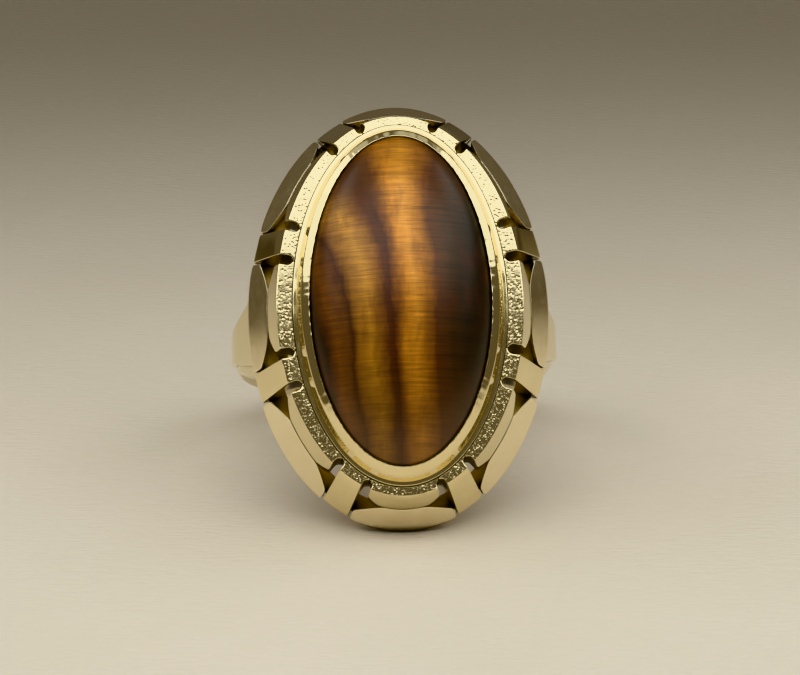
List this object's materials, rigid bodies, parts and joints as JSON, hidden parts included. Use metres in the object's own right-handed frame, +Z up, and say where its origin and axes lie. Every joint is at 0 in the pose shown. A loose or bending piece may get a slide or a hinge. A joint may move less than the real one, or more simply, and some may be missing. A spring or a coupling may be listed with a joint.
{
  "type": "cocktail ring",
  "caption": "Yellow gold dress ring: long oval tiger's eye cabochon in a rub-over bezel, openwork frame of leaves and bars, flared shank.",
  "frame": {"origin": "on the table, under the middle of the ring's box as it lies leaning back", "axes": "+X across the finger, +Y away from the stone's face, +Z up; the finger hole's axis leans back towards +Y"},
  "size_m": [0.0212, 0.028, 0.0239],
  "materials": {
    "tigers_eye": "polished tiger's eye, brown with golden bands",
    "polished_gold": "polished 14 carat yellow gold",
    "satin_gold": "fine satin yellow gold",
    "sanded_gold": "punched sandy texture in yellow gold",
    "cast_gold": "as cast and tumbled yellow gold"
  },
  "bodies": {
    "root": {"tigers_eye_cabochon": "tigers_eye", "bezel_collar": "polished_gold", "bezel_seat": "cast_gold", "bezel_foot_ring": "polished_gold", "inner_leaf_right": "sanded_gold", "inner_leaf_upper_right": "sanded_gold", "inner_leaf_top": "sanded_gold", "inner_leaf_upper_left": "sanded_gold", "inner_leaf_left": "sanded_gold", "inner_leaf_lower_left": "sanded_gold", "inner_leaf_bottom": "sanded_gold", "inner_leaf_lower_right": "sanded_gold", "outer_leaf_right": "satin_gold", "outer_leaf_upper_right": "satin_gold", "outer_leaf_top": "satin_gold", "outer_leaf_upper_left": "satin_gold", "outer_leaf_left": "satin_gold", "outer_leaf_lower_left": "satin_gold", "outer_leaf_bottom": "satin_gold", "outer_leaf_lower_right": "satin_gold", "bar_right_upper": "satin_gold", "bar_top_right": "satin_gold", "bar_top_left": "satin_gold", "bar_left_upper": "satin_gold", "bar_left_lower": "satin_gold", "bar_bottom_left": "satin_gold", "bar_bottom_right": "satin_gold", "bar_right_lower": "satin_gold", "gallery_rail": "cast_gold", "shank_band": "polished_gold", "shoulder_panel_left": "polished_gold", "shoulder_panel_right": "polished_gold"}
  },
  "joints": []
}
